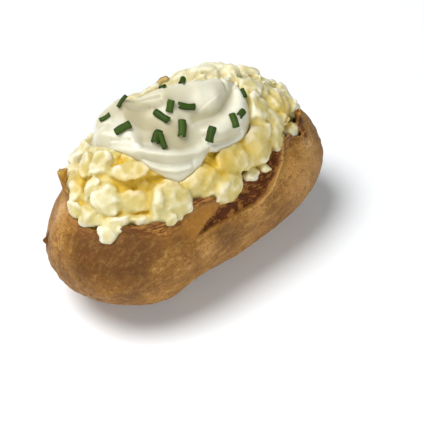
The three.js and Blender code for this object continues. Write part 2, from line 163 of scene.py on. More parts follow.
# Chunks of flesh: degrees around and up the dome, length, width, degrees of turn from level, and how
# far out of the dome they stand.
CHUNKS = [
    (139, 23, 8, 7, 50, 1.5), (142, 30, 7, 6, 110, 1.5), (138, 34, 8, 5, 35, 1.5), (146, 19, 7, 6, 125, 0),
    (132, 33, 8, 5, 45, 1), (157, 17, 6, 4.5, 160, -1), (165, 35, 12, 5.5, 160, 0), (174, 20, 8, 6, 140, 0),
    (188, 27, 10, 3.6, 80, 0.3), (184, 10, 7.5, 7, 125, 0.6), (195, 9, 9, 6, 90, 1.3),
    (181, 41, 11, 8, 125, 0.5), (211, 41, 14, 7, 15, 0.5), (204, 24, 13, 11, 65, 0.7),
    (223, 22, 14, 9, 0, 0.3), (214, 9, 12, 6, 0, 2), (229, 8, 11, 5, 170, 3), (211, 2, 9, 7.5, 90, 5),
    (217, 4, 5, 2.5, 90, 4), (240, 14, 18, 17, 50, 1.8), (239, 4, 10, 7, 85, 4.4), (247, 10, 8, 9, 30, 3),
    (257, 20, 18, 14, 165, 0.6), (259, 11, 6, 4, 170, 3.2), (264, 18, 9, 8, 0, 1), (268, 5, 15, 15, 65, 2.4),
    (277, 22, 18, 12, 165, 0.6), (293, 21, 18, 15, 55, 0.4), (283, 2, 7, 5, 165, 3.3), (290, 0, 4, 4, 40, 3),
    (166, 44, 8, 6, 0, 0), (19, 53, 9, 7, 0, 2), (18, 37, 11, 8, 0, 1), (337, 49, 10, 7, 70, 0),
    (310, 42, 13, 9, 80, 0), (312, 36, 14, 5, 80, 0), (37, 54, 9, 7, 0, 2), (326, 29, 11, 10, 20, 0),
    (313, 24, 10, 8, 0, 0), (317, 4, 7, 6, 0, 0), (308, 19, 7, 6, 0, 0), (349, 18, 8, 6, 0, 1),
    (305, 14, 10, 11, 15, 0.6), (318, 3, 8, 9, 115, 0.8), (203, 12, 9, 7, 20, -0.3), (336, 7, 8, 7, 90, 1),
    (81, 50, 8, 6, 0, 0), (62, 54, 14, 10, 20, 1.5), (43, 55, 14, 11, 0, 1.4), (94, 50, 10, 8, 0, 1),
    (105, 47, 11, 9, 0, 2), (115, 42, 12, 9, 20, 3),
]

# Form of a chunk. Each pair is what a small one has and what a broad one adds.
BROAD_WIDTHS = (6, 10)
CHUNK_FACETS = (12, 10)
CHUNK_SHARP = (15, -3)
CHUNK_BLEND = (0.55, 0.5)
FACET_LEAST = (0.9, 0.05)
FACET_MOST = 1.1
BOX_REACH = 1.02
CHUNK_FLAT = 0.2
CHUNK_DEEP = 1.9
CHUNK_TILT = 0.4
CHUNK_SPAN = 1.25
CHUNK_SPARE = 2

# Loose lumps and crumbs between the chunks: width as a share of the size, how far out of the dome,
# and how far down it they reach.
DOME_TOP = 0.985
LUMP_COUNT = 330
LUMP_SIZE = (4.5, 9)
LUMP_WIDTH = (0.65, 0.95)
LUMP_OUT = (-2.6, -0.8)
LUMPS_DOWN = 0.96
LUMP_JITTER = 6
GOLDEN_ANGLE = 137.508
CRUMB_COUNT = 200
CRUMB_SIZE = (1.8, 3.4)
CRUMB_WIDTH = (0.7, 1)
CRUMB_OUT = (-1.0, 0.8)
CRUMBS_DOWN = 0.78
CRUMBS_AROUND = (-70, 110)

# Flesh in the jacket: how far it keeps from the skin, its level, and where the jacket lets it go.
FLESH_INSET = 2.4
TEAR_INSET = 1.3
CORE_LEVEL = 46
CORE_CLIMB = 2.2
CORE_SPARE = 0.2
CORE_BLEND = 1.0
WALL_ENDS = (50, 47)
WALL_TOP = 70
FLAP_INSET = 0.4

# Grid that the flesh is worked out on, and blurs for its masks, in cells.
VOXEL = 0.57
HEAP_LOW = 33
GRID_LOW = np.array([-61.5, -34.5, HEAP_LOW - 1.0])
GRID_HIGH = np.array([61.5, 33.5, 77.0])
FIELD_BAND = 3.0
FINE_BLUR = 2
DEEP_BLUR = 5

# Noise that bends the grid, so that no lump is even: size and shift.
WARP_WIDE = (4.6, 10)
WARP_FINE = (2.3, 14)
WARP_FINE_SHARE = 0.75
WARP = 0.7

# Sour cream: its outline from above, thickness, edge, the room for it in the flesh, and its mesh.
CREAM_OUTLINE = [
    (-32.3, 4.8), (-34.4, 10.3), (-32.6, 16.5), (-27, 20.3), (-18, 18.5), (-10, 13.5), (0, 8.5), (8, 6.5),
    (14, 2.5), (20, 2), (25, -1), (25, -6), (22.5, -12), (17, -16.5), (9, -17.5), (2, -17.5),
    (-3, -16.5), (-8, -18), (-14, -18.5), (-20, -17.5), (-24, -14), (-27, -10), (-30, -3),
]
CREAM_CENTRE = np.array([-6, -2])
CREAM_THICK = 3.6
CREAM_THIN = 0.5
CREAM_SUNK = 2
CREAM_RIPPLE = [(0.12, 6, 30)]
FOLD_SOFT = 0.5
EDGE_ROUND = 5
EDGE_POWER = 0.55
UNDER_ROUND = 6
CREAM_ROOM = 0.4
ROOM_BESIDE = (0.98, 1.14)
ROOM_RISE = 9
ROOM_SLOPE = 0.8
BED_LEAST = 0.1
CREAM_AROUND = 440
CREAM_ROWS = 120
CREAM_UNDER_ROWS = 16
EDGE_POINTS = 720

# Each fold: lift in mm, spread on its left and on its right in mm, and the line it follows.
CREAM_FOLDS = [
    (3.0, 2.6, 3.4,
     [(-31, 11), (-27.5, 14), (-23, 13.7), (-19.5, 11.2), (-14, 9), (-5, 6), (8, 1.8), (17, -1)]),
    (2.2, 3.0, 3.0, [(-29, 12), (-25, 14), (-21, 12.5), (-18, 10.5)]),
    (1.8, 3.2, 3.2, [(-19.5, 9.5), (-21.8, 7.5), (-24, 4), (-26, 0), (-27, -4)]),
    (-2.6, 7, 6, [(-16, 2), (-13, -4), (-8, -7), (0, -6)]),
    (-2.4, 3.2, 1.5,
     [(-23.5, -4.4), (-20, -7.2), (-16.6, -9.3), (-12.4, -11.2), (-7.6, -12.4), (-3.4, -12.6)]),
    (1.5, 1.2, 1.3,
     [(-31, 0.5), (-28.2, -4.2), (-24, -7.8), (-19.3, -10.9), (-14, -13.2), (-8, -14.6), (-3, -14.7)]),
    (-1.1, 0.8, 0.8,
     [(-27.2, -7.4), (-25.7, -9.4), (-22.9, -12), (-19.6, -13.9), (-15.8, -15.2), (-11.4, -15.9)]),
    (0.9, 0.7, 0.8, [(-27.4, -8.5), (-25.8, -10.8), (-22.9, -13.3), (-18.4, -15.4), (-12.8, -16.5)]),
    (-3.0, 1.5, 2.4, [(19.6, -4.2), (15.9, -6.8), (10.6, -9), (5.8, -9.8), (2, -9.3), (-0.7, -8.8)]),
    (1.8, 4, 4, [(5, -3), (8.5, -4.6)]),
    (1.8, 2.5, 2.5, [(20.5, -1), (22.4, -5), (21, -8), (17.5, -10.6)]),
    (-1.6, 0.9, 0.9, [(16.6, 0.8), (17, -1.4), (16.9, -3)]),
    (1.7, 2.4, 2.0, [(0, -12.4), (5.2, -13.3), (12.3, -13.5), (17.5, -12.6)]),
    (-1.7, 0.7, 0.7, [(-0.3, -15.2), (3, -15.9), (6.8, -16.2), (10.8, -16), (13, -15.3)]),
    (0.9, 0.5, 0.8, [(-18.5, 9.2), (-15.4, 7.8), (-12.6, 6.2), (-8.6, 3.6)]),
    (-0.9, 0.45, 0.5, [(-19.4, 10.2), (-15, 8.9), (-11.4, 6.9), (-7.6, 4.6)]),
    (-0.9, 0.5, 0.7, [(-18, 8), (-15.8, 6.6), (-12.4, 4.9)]),
    (-2.2, 1.6, 1.6, [(-30.2, 12.6), (-29, 11.4)]),
    (-1.4, 2.0, 1.6, [(-34.6, 9), (-33.6, 6)]),
    (-1.1, 0.8, 0.8, [(-31.5, 5), (-29.5, 1.5), (-28, -1.5)]),
    (-0.9, 0.7, 0.7, [(-30.2, 5.8), (-28, 2), (-26.6, -0.8)]),
]

# Painted shade of the cream in its folds: depth of a fold and slope of its front side.
HOLLOW_DEPTH = (0.2, -2.8)
HOLLOW_SLOPE = (0.05, 0.8)
SLOPE_STEP = 0.4
TILT_STEP = 0.8

# Chive snips: x, y, length, radius, degrees around and, where there is any, degrees of lean and
# how far off the cream.
CHIVES = [
    (-25.3, 11.7, 4.5, 0.85, 164), (-18.6, 9.1, 5.4, 0.8, 12), (-25, 3.9, 6.4, 1.6, 152),
    (-6.9, 0.4, 4.6, 1.4, 42, 25), (-11.7, -0.4, 6.4, 1.4, 100), (-1.8, -2.4, 6.4, 1.3, 144),
    (-8.2, -7.5, 6.3, 1.6, 54), (-18.4, -4.8, 5, 1.6, 34), (-17.7, -6.8, 6.5, 1.15, 78, 12, 1.2),
    (-0.5, -12.8, 5.9, 1.6, 34), (10.7, -12.5, 5.4, 1.4, 76), (15.2, -11.6, 3, 1.35, 16),
    (22.6, -6.2, 3.6, 1.0, 82), (2.8, 3.9, 3.4, 1.2, 36, 20), (-3.8, 6.3, 3.6, 0.8, 86),
]
CHIVE_WALL = 0.35
CHIVE_SIDES = 28
CHIVE_STEPS = 8
CHIVE_BOW = 0.35
CHIVE_FLAT = (0.8, 0.95)
CHIVE_SLANT = 0.12
CHIVE_SWELL = 0.05
CHIVE_SEAT = 0.62

# Patches of the skin, baked darker (below 0) or paler. The pale ones at the top of the left end are a
# painted highlight. The dark ones on the front left, under the flesh, are partly the skin's own tone and
# partly painted shade. Place, spread in mm and how strongly.
SKIN_PATCHES = [
    (-54, -14, 43, 13, -0.75), (-48, -23, 37, 15, -0.6), (-57, -10, 34, 11, -0.5), (-38, -28, 42, 12, -0.5),
    (-25, -31, 42, 9, -0.2), (-6, -33, 34, 8, -0.3), (19, -32, 30, 10, -0.3), (46.5, -21, 42, 6, 1.1),
    (-20, 33, 30, 16, -0.6), (30, 33, 36, 14, -0.4), (-52, 11, 45, 5, 1.1), (-56, 8, 43.5, 7, 1.2),
    (-62, 3, 38, 7, 0.6), (-40, -31, 34, 5, 0.6), (-18, -34, 34, 4, 0.9), (10, -32, 36, 5, 0.7),
    (39, -27, 36, 10, 0.7), (28, -30, 38, 7, 0.5), (-28, -34, 30, 8, 0.4), (50, -20, 38, 7, 0.4),
    (5, 34, 26, 8, 0.6), (-45, 27, 36, 7, 0.5), (-60, 12, 31.5, 2.0, -4), (-56, -11, 40, 6, -0.5),
    (48.5, -13.2, 47.3, 2.2, -3), (41.5, -20.1, 46.1, 1.6, -2.5), (45, -19, 44, 2.5, 1.2),
]

# Spots outside the tear where the skin is torn off too.
TORN_SPOTS = [(48, -16, 45, 1.8, 1)]

# Tanned flap in front of the tear: x, z, stretch along X, and its edge.
FRONT_FLAP = (-14, 43, 2.6, (6, 3))

# Dark band of the rim, where it is broader, and where it fades, along X.
RIM_BAND = 4.5
RIM_BAND_MORE = 3.5
RIM_BROAD = (-30, 11)
RIM_FADES = (-46, -38)
RIM_FADED = 0.3

# Inside of the jacket: where its colour fades along X, and the level from which flesh clings to it.
INNER_FADES = (35, 42)
INNER_FADED = 0.85
CLINGS_FROM = (57, 60)

# Tints of the flesh: buttery golden (above 0), and a painted highlight that whitens it (below 0) at the back
# and on the left, where the light falls strongest. Place, spread in mm and how strongly.
FLESH_BUTTER_AND_PAINTED_HIGHLIGHT = [
    (-43, 8, 58, 4, 1), (-46, 5, 56, 4, 1), (-38, -7, 60, 4, 1), (-33, -11, 60, 6, 1), (-32, -2, 65, 3, 1),
    (-28, -10, 62, 4, 1), (-34, -16, 51, 4, 1), (2, -19, 55.5, 5, 1), (40, -12, 53, 6, 1),
    (-22, -16, 58, 6, 0.8), (22, -19, 50, 4, 1), (-10, -20, 55, 8, 0.6), (0, -23, 46, 8, 0.5),
    (20, -19, 54, 9, 0.45), (-3, -19, 59, 6, 1), (10, -19, 57, 7, 0.6), (41, -10, 57, 7, 0.4),
    (0, 25, 60, 14, -0.3), (25, 20, 58, 14, -0.3), (24, 15, 68, 12, -0.85), (45, 10, 52, 8, -0.4),
    (-45, -5, 56, 5, -0.5), (-38, 17, 57, 7, -0.5), (-49, -14, 46, 5, -0.4),
]

# Painted shade of the cream, a beige darkening of its basin and slopes: place from above, spread in mm and
# how strongly.
CREAM_PAINTED_SHADE_PATCHES = [
    (-17.5, 4.5, 5, 1.1), (-17.5, 0, 4, 0.5), (-12, -8.5, 5, 0.8), (-6, 2.5, 4, 0.3), (-24, -11, 3, 0.3),
    (7, -14, 3, 0.3),
]

# Lights: degrees around and up, size in metres, watts and colour.
LIGHTS = {
    "key": (151, 66, 0.85, 18.6, (1, 1, 1)),
    "fill": (-112, 25, 1.0, 8.6, (0.96, 0.99, 1.0)),
}
LIGHT_DISTANCE = 1.3
LIGHT_AIM = 0.04
WORLD_COLOUR = (0.86, 0.95, 1.0, 1)
WORLD_STRENGTH = 0.135
FLOOR_HALF = 2.5

# Camera: where it stands in degrees round and up, how far, what it looks at, and its lens.
CAMERA_AROUND = -40.3
CAMERA_UP = 42
CAMERA_DISTANCE = 600
CAMERA_TARGET = np.array([0.0, 0.0, 30.0])
FRAME_PIXELS = 424
LENS_PIXELS = 1497
TARGET_PIXEL = (186.15, 188.2)
SENSOR = 36
CLIP_START = 0.01

# Random values that the noise is smoothed from. The size is a power of two.
LATTICE_SIZE = 64
LATTICE = np.random.default_rng(5).uniform(-1, 1, (LATTICE_SIZE,) * 3).astype(np.float32)
LATTICE_SHIFT = 17.3


def clamp(t):
    return np.clip(t, 0, 1)


def smooth(start, end, t):
    c = clamp((t - start) / (end - start))
    return c * c * (3 - 2 * c)


def bell(t, spread):
    return np.exp(-((t / spread) ** 2))


def sine(degrees):
    return np.sin(np.radians(degrees))


def cosine(degrees):
    return np.cos(np.radians(degrees))


def cos_sin(degrees):
    return math.cos(math.radians(degrees)), math.sin(math.radians(degrees))


def turn_gap(a, b):
    return (a - b + 180) % 360 - 180


def unit(v):
    return v / np.maximum(np.linalg.norm(v, axis=-1, keepdims=True), 1e-9)


def noise(points, size, shift):
    """Smooth noise from -1 to 1, with lumps of about `size` mm, at points (..., 3)."""
    spots = np.asarray(points, np.float32) / size + LATTICE_SHIFT * (shift + 1)
    cell = np.floor(spots).astype(np.int32)
    part = spots - cell
    part = part * part * (3 - 2 * part)
    total = 0
    for corner in np.ndindex(2, 2, 2):
        at = (cell + np.array(corner, np.int32)) & (LATTICE_SIZE - 1)
        weight = 1
        for axis in range(3):
            weight = weight * (part[..., axis] if corner[axis] else 1 - part[..., axis])
        total = total + weight * LATTICE[at[..., 0], at[..., 1], at[..., 2]]
    return total


def layered(points, layers):
    return sum(height * noise(points, size, shift) for height, size, shift in layers)


def patched(points, patches):
    """How strongly the points lie in patches, each with its place, spread and strength."""
    return sum(amount * bell(np.linalg.norm(points - np.array(at), axis=-1), spread)
               for *at, spread, amount in patches)


def half_width(s, y):
    bulge = np.where(y < 0, FRONT_BULGE * bell(s - BULGE_AT, BULGE_SPREAD), 0)
    return HALF_WIDTH * (1 + WIDER_RIGHT * s + bulge)


def potato_point(around, up, inset, relief=0):
    """Point of the potato's surface in a direction in degrees, under or over the skin in mm."""
    dx = cosine(around) * cosine(up)
    dy = sine(around) * cosine(up)
    dz = sine(up)
    blunt = np.where(dx < 0, BLUNT_LEFT, BLUNT_RIGHT)
    reach = (np.abs(dx) ** blunt + np.hypot(dy, dz) ** blunt) ** (-1 / blunt)
    s = reach * dx
    width = half_width(s, dy) - inset + relief
    height = HALF_HEIGHT * (1 + TALLER_RIGHT * s) - inset + relief
    z = HALF_HEIGHT - REST_FLAT + height * reach * dz
    x = (HALF_LENGTH - inset + relief) * s
    y = BEND * (s * s - BEND_LEVEL) + width * reach * dy
    return np.stack(np.broadcast_arrays(x, y, np.maximum(z, inset)), -1)


def skin_relief(around, up):
    relief = WAVE * sine(WAVES_AROUND * around + WAVES_UP * up) * cosine(up)
    for at, height, spread, lift in LUMPS:
        across = turn_gap(around, at) * cosine(up)
        relief = relief + lift * bell(np.hypot(across, up - height), spread)
    return relief


def tear_masks(around, up):
    """How much a point is in the torn strip, on the raised lip below it and on the lip's edge."""
    x = potato_point(around, up, 0)[..., 0]
    climb = np.degrees(np.arctan2(sine(up), -sine(around) * cosine(up)))
    over = climb - np.interp(x, *zip(*TEAR_LOW))
    under = np.interp(x, *zip(*TEAR_HIGH)) - climb
    front = np.abs(turn_gap(around, -90)) <= TEAR_REACH
    strip = smooth(*TEAR_STARTS, x) * smooth(*TEAR_ENDS, x) * smooth(0, TEAR_SLOPE, over)
    strip = strip * smooth(0, TEAR_SLOPE, under) * front
    lip, edge = (smooth(*starts, x) * smooth(*ends, x) * bell(over + below, spread) * front
                 for starts, ends, below, spread in (LIP, LIP_EDGE))
    return strip, lip, edge


def rim_flap(around):
    """How far the rim rises in mm, and how it leans outward, around the jacket."""
    rise = RIM_RISE
    for height, waves, start in RIM_WAVES:
        rise = rise + height * np.sin(np.radians(waves * around) + start)
    height, fine, finer, start = RIM_TEETH
    rise = rise + height * sine(fine * around) * np.sin(np.radians(finer * around) + start)
    lean = RIM_LEAN
    for at, spread, height, outward in FLAPS:
        share = bell(turn_gap(around, at), spread)
        rise = rise + height * share
        lean = lean + (outward - RIM_LEAN) * share
    rough = np.stack([around * ROUGH_PER_DEGREE, around * 0, around * 0], -1)
    for height, size, shift in RIM_ROUGHNESS:
        rise = rise + height * noise(rough, size, shift)
    return rise, lean


def skin_wrinkles(point, strip):
    """Height of the fine relief of the skin, coarser at the ends and fibrous in the tear."""
    x, z = point[..., 0], point[..., 2]
    fibre = layered(point * FIBRE_STRETCH, LONG_FIBRES) + layered(point, SHORT_FIBRES)
    coarse = smooth(*COARSE_LEFT, x) + COARSE_SHARE * smooth(*COARSE_RIGHT, x)
    wrinkle = layered(point, WRINKLES) + coarse * layered(point, COARSE_WRINKLES)
    return smooth(0, SMOOTH_UNDER, z) * (wrinkle + strip * fibre)


def jacket_masks(point, strip, edge, full, run, inside):
    """Masks for the jacket's material. A point is `run` mm up a column that is `full` mm long."""
    x, y, z = np.moveaxis(point, -1, 0)
    flap_x, flap_z, stretch, flap_edge = FRONT_FLAP
    flap = smooth(*flap_edge, np.hypot((x - flap_x) / stretch, z - flap_z)) * (1 - strip)
    broad_x, broad_spread = RIM_BROAD
    band = RIM_BAND + RIM_BAND_MORE * bell(x - broad_x, broad_spread)
    rim = smooth(full - band, full - band / 3, run) * (1 - flap)
    return {
        "torn": np.maximum(strip, patched(point, TORN_SPOTS)),
        "lip": edge,
        # Tone of the skin, which holds painted shade under the flesh and a painted highlight on the left end
        # too.
        "baked": patched(point, SKIN_PATCHES),
        "flap": flap * (y < 0),
        "inner": inside * (1 - INNER_FADED * smooth(*INNER_FADES, x)),
        "fleshy": inside * smooth(*CLINGS_FROM, z),
        "rim": rim * (RIM_FADED + (1 - RIM_FADED) * smooth(*RIM_FADES, x)),
    }


def jacket_face(share, inside):
    """Points of one face of the jacket, with their masks, for a column of shares."""
    turn = np.arange(JACKET_AROUND) / JACKET_AROUND * 2 * np.pi
    around = np.degrees(turn + COLUMN_CROWDING / 2 * np.sin(2 * turn))[None, :]
    share = share[:, None]
    rise, lean = rim_flap(around)
    length = (90 + RIM_UP) * MM_PER_DEGREE
    run = share * (length + rise)
    up = np.minimum(run, length) / MM_PER_DEGREE - 90
    strip, lip, edge = tear_masks(around, up)
    relief = -TEAR_DEPTH * strip
    inset = 0
    if inside:
        inset = WALL - (WALL - RIM_WALL) * smooth(*RIM_THINS, share)
    else:
        relief = relief + LIP_HEIGHT * lip + skin_relief(around, up)
    point = potato_point(around, up, inset, relief)
    outward = point - potato_point(around, up, inset + 1, relief)
    outward[..., 2] = 0
    outward = unit(outward)
    stand = np.maximum(0, run - length)
    tilt = lean * np.minimum(1, stand / LEAN_OVER + LEAN_LEAST)
    point = point + outward * (stand * np.sin(tilt))[..., None]
    point[..., 2] += stand * np.cos(tilt)
    if not inside:
        point = point + outward * skin_wrinkles(point, strip)[..., None]
    return point, jacket_masks(point, strip, edge, length + rise, run, inside)


def grid_faces(rows, columns, looped=False):
    """Quads between rings of points; if looped, the last ring is joined to the first too."""
    ring = np.arange(columns)
    after = (ring + 1) % columns
    lower = np.arange(rows if looped else rows - 1)[:, None] * columns
    upper = (lower + columns) % (rows * columns)
    quads = np.stack([lower + ring, lower + after, upper + after, upper + ring], -1)
    return quads.reshape(-1, 4)


def closed_rings(rings, first, last):
    """A closed skin over rings (rows, columns, 3) with a point closing each end."""
    rows, columns = rings.shape[:2]
    ring = np.arange(columns)
    after = (ring + 1) % columns
    tips = rows * columns
    start = np.stack([np.full(columns, tips), after, ring], -1)
    end = (rows - 1) * columns
    finish = np.stack([end + ring, end + after, np.full(columns, tips + 1)], -1)
    points = np.vstack([rings.reshape(-1, 3), first, last])
    return points, start.tolist() + grid_faces(rows, columns).tolist() + finish.tolist()


def placed(name, data):
    made = bpy.data.objects.new(name, data)
    bpy.context.scene.collection.objects.link(made)
    return made


def piece(name, points, faces, masks, material):
    """A smooth mesh piece from points in mm, with its masks as attributes."""
    mesh = bpy.data.meshes.new(name)
    mesh.from_pydata(((points - MIDDLE) * MM).tolist(), [], faces)
    mesh.update()
    mesh.shade_smooth()
    for key, values in masks.items():
        layer = mesh.attributes.new(key, "FLOAT", "POINT")
        layer.data.foreach_set("value", np.asarray(values, np.float32).ravel())
    mesh.materials.append(material)
    made = placed(name, mesh)
    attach(made, "root")
    return made


def jacket():
    rows_up = (np.arange(1, JACKET_ROWS + 1) / JACKET_ROWS) ** ROW_CROWDING
    rows_down = (np.arange(WALL_ROWS, 0, -1) / WALL_ROWS) ** WALL_CROWDING
    outside, masks = jacket_face(rows_up, False)
    inside, inner_masks = jacket_face(rows_down, True)
    rings = np.concatenate([outside, inside])
    points, faces = closed_rings(rings, potato_point(0, -90, 0), potato_point(0, -90, WALL))
    for key, values in inner_masks.items():
        masks[key] = np.append(np.concatenate([masks[key], values]), [0, 0])
    return piece("jacket_skin", points, faces, masks, skin_material())


def dome_level(p, q):
    return (np.abs(p) ** DOME_PLAN + np.abs(q) ** DOME_PLAN) ** (1 / DOME_PLAN)


def dome_normal(p, q, rise):
    level = np.maximum(dome_level(p, q), 1e-6) ** (DOME_RISE - DOME_PLAN)
    return unit(np.stack([
        level * np.sign(p) * np.abs(p) ** (DOME_PLAN - 1) / DOME[0],
        level * np.sign(q) * np.abs(q) ** (DOME_PLAN - 1) / DOME[1],
        np.sign(rise) * np.abs(rise) ** (DOME_RISE - 1) / DOME[2],
    ], -1))


def dome_point(around, up):
    ahead, aside = cos_sin(around)
    out, rise = cos_sin(up)
    level = out ** (2 / DOME_RISE) / dome_level(ahead, aside)
    rise = math.copysign(abs(rise) ** (2 / DOME_RISE), up)
    spot = np.array([ahead * level, aside * level, rise])
    return spot * DOME + DOME_CENTRE, dome_normal(spot[0], spot[1], np.float64(rise))


def soft_union(a, b, blend):
    near = np.maximum(blend - np.abs(a - b), 0) / blend
    return np.minimum(a, b) - near * near * blend / 4


def grown(pair, broad):
    """A value of a chunk: what a small one has, with what a broad one adds."""
    return pair[0] + pair[1] * broad


def chunk_axes(chunk, random, loose):
    """Middle of a chunk, and its directions lengthways, across and out of the heap."""
    around, up, _, _, turn, out = chunk
    tilt = random.uniform(-CHUNK_TILT, CHUNK_TILT, 2)
    point, normal = dome_point(around, up)
    point = point + normal * out
    level = unit(np.cross([0, 0, 1], normal))
    up_slope = np.cross(normal, level)
    normal = unit(normal + tilt[0] * level + tilt[1] * up_slope) if loose else normal
    level = unit(np.cross(up_slope, normal))
    up_slope = np.cross(normal, level)
    cos, sin = cos_sin(turn)
    lengthways = level * cos + up_slope * sin
    return point, lengthways, np.cross(normal, lengthways), normal


def add_chunk(field, grid, chunk, random, loose):
    """Joins one uneven block of flesh to the field, in the cells round it."""
    point, lengthways, across, normal = chunk_axes(chunk, random, loose)
    length, width = chunk[2:4]
    broad = smooth(*BROAD_WIDTHS, width)
    half = np.array([length / 2, width / 2, CHUNK_FLAT * width + CHUNK_DEEP])
    facets = int(grown(CHUNK_FACETS, broad))
    planes = np.concatenate([unit(random.normal(size=(facets, 3))), np.eye(3), -np.eye(3)])
    reach = random.uniform(grown(FACET_LEAST, broad), FACET_MOST, facets)
    reach = np.append(reach, np.full(6, BOX_REACH))
    span = half.max() * CHUNK_SPAN + CHUNK_SPARE
    start = np.maximum(((point - span - GRID_LOW) / VOXEL).astype(int), 0)
    stop = np.minimum(((point + span - GRID_LOW) / VOXEL).astype(int) + 1, field.shape)
    if (stop <= start).any():
        return
    cells = tuple(slice(a, b) for a, b in zip(start, stop))
    off = grid[cells] - point
    local = np.stack([off @ lengthways, off @ across, off @ normal], -1) / half
    facing = np.maximum(local @ planes.T / reach, 0)
    sharp = grown(CHUNK_SHARP, broad)
    gauge = (facing ** sharp).sum(-1) ** (1 / sharp)
    field[cells] = soft_union(field[cells], (gauge - 1) * half.min(), grown(CHUNK_BLEND, broad))


def dome_field(grid):
    off = grid - DOME_CENTRE
    p, q, r = (off[..., i] / DOME[i] for i in range(3))
    gauge = (dome_level(p, q) ** DOME_RISE + np.abs(r) ** DOME_RISE) ** (1 / DOME_RISE)
    return np.linalg.norm(off, axis=-1) * (1 - 1 / np.maximum(gauge, 1e-3))


def potato_field(grid, inset):
    s = grid[..., 0] / (HALF_LENGTH - inset)
    blunt = np.where(s < 0, BLUNT_LEFT, BLUNT_RIGHT)
    y = grid[..., 1] - BEND * (s * s - BEND_LEVEL)
    q = y / (half_width(s, y) - inset)
    r = (grid[..., 2] - HALF_HEIGHT + REST_FLAT) / (HALF_HEIGHT * (1 + TALLER_RIGHT * s) - inset)
    gauge = (np.abs(s) ** blunt + np.hypot(q, r) ** blunt) ** (1 / blunt)
    return (gauge - 1) * HALF_HEIGHT


def blurred(values, radius):
    """Box blur along each axis, three times."""
    for _ in range(3):
        for axis in range(3):
            padded = np.concatenate([np.repeat(values.take([0], axis), radius + 1, axis), values,
                                     np.repeat(values.take([-1], axis), radius, axis)], axis)
            sums = np.cumsum(padded, axis, dtype=np.float64)
            count = values.shape[axis]
            width = 2 * radius + 1
            values = ((sums.take(range(width, width + count), axis)
                       - sums.take(range(0, count), axis)) / width).astype(np.float32)
    return values


def sampled(field, points):
    """Values of the field at points, linearly between its cells."""
    spots = np.clip((points - GRID_LOW) / VOXEL, 0, np.array(field.shape) - 1.001)
    cell = spots.astype(int)
    part = spots - cell
    total = 0
    for corner in np.ndindex(2, 2, 2):
        at = cell + corner
        weight = np.prod(np.where(corner, part, 1 - part), axis=-1)
        total = total + weight * field[at[:, 0], at[:, 1], at[:, 2]]
    return total


def largest_part(points, quads):
    """The mesh without the loose scraps beside its largest part."""
    quads = quads.astype(int)
    label = np.arange(len(points))
    while True:
        lowest = label[quads].min(axis=1)
        after = label.copy()
        for corner in range(4):
            np.minimum.at(after, quads[:, corner], lowest)
        after = after[after]
        if (after == label).all():
            break
        label = after
    kept = label == np.bincount(label).argmax()
    place = np.cumsum(kept) - 1
    return points[kept], place[quads[kept[quads[:, 0]]]]


def loose_chunk(around, up, size, widths, outs, sunk, random):
    """A lump or crumb in the form of CHUNKS, with its width, turn and depth drawn."""
    width = size * random.uniform(*widths)
    turn = random.uniform(0, 180)
    return around, up, size, width, turn, random.uniform(*outs) - sunk


def heap_chunks(random):
    """Lumps that fill the dome between the CHUNKS, then crumbs at its right end and back.

    They lie deeper low down, at the front left and at the back.
    """
    lumps = []
    for i in range(LUMP_COUNT):
        around = i * GOLDEN_ANGLE + random.uniform(-LUMP_JITTER, LUMP_JITTER)
        up = math.degrees(math.asin(DOME_TOP - LUMPS_DOWN * (i + 0.5) / LUMP_COUNT))
        size = random.uniform(*LUMP_SIZE)
        sunk = 1.6 * smooth(22, 6, up) + 1.2 * bell(turn_gap(around, 240), 60)
        lumps.append(loose_chunk(around, up, size, LUMP_WIDTH, LUMP_OUT, sunk, random))
    for i in range(CRUMB_COUNT):
        up = math.degrees(math.asin(DOME_TOP - CRUMBS_DOWN * random.uniform()))
        size = random.uniform(*CRUMB_SIZE)
        around = random.uniform(*CRUMBS_AROUND)
        sunk = 0.9 * bell(around - 65, 30)
        lumps.append(loose_chunk(around, up, size, CRUMB_WIDTH, CRUMB_OUT, sunk, random))
    return lumps


def kept_inside(wall, share):
    """The field of a wall where the share is 1, easing out to nothing where it falls to 0."""
    eased = np.minimum(wall, FIELD_BAND) + 2 * FIELD_BAND * (share - 1)
    return np.where(share > 0, eased, -3 * FIELD_BAND)


def behind_flap(grid):
    """Keeps the flesh inside the tall flap: over 0 where the flap's wall is, or beyond it."""
    at, spread, height, _ = FLAPS[TALL_FLAP]
    around = np.degrees(np.arctan2(grid[..., 1] / HALF_WIDTH, grid[..., 0] / HALF_LENGTH))
    share = smooth(1.5 * spread, 1.1 * spread, np.abs(turn_gap(around, at)))
    share = share * smooth(FLAP_FROM + height, FLAP_FROM + height - 3, grid[..., 2])
    lowered = np.concatenate([grid[..., :2], np.minimum(grid[..., 2:], FLAP_FROM)], -1)
    return kept_inside(potato_field(lowered, FLESH_INSET + FLAP_INSET), share)


def noise_vectors(grid, size, shift):
    return np.stack([noise(grid, size, shift + i) for i in range(3)], -1)


def bent_grid(grid):
    """The grid bent by noise, a little more at the right end."""
    warp = noise_vectors(grid, *WARP_WIDE)
    ragged = WARP_FINE_SHARE + 0.1 * smooth(24, 38, grid[..., :1])
    warp += ragged * noise_vectors(grid, *WARP_FINE)
    return grid + WARP * warp


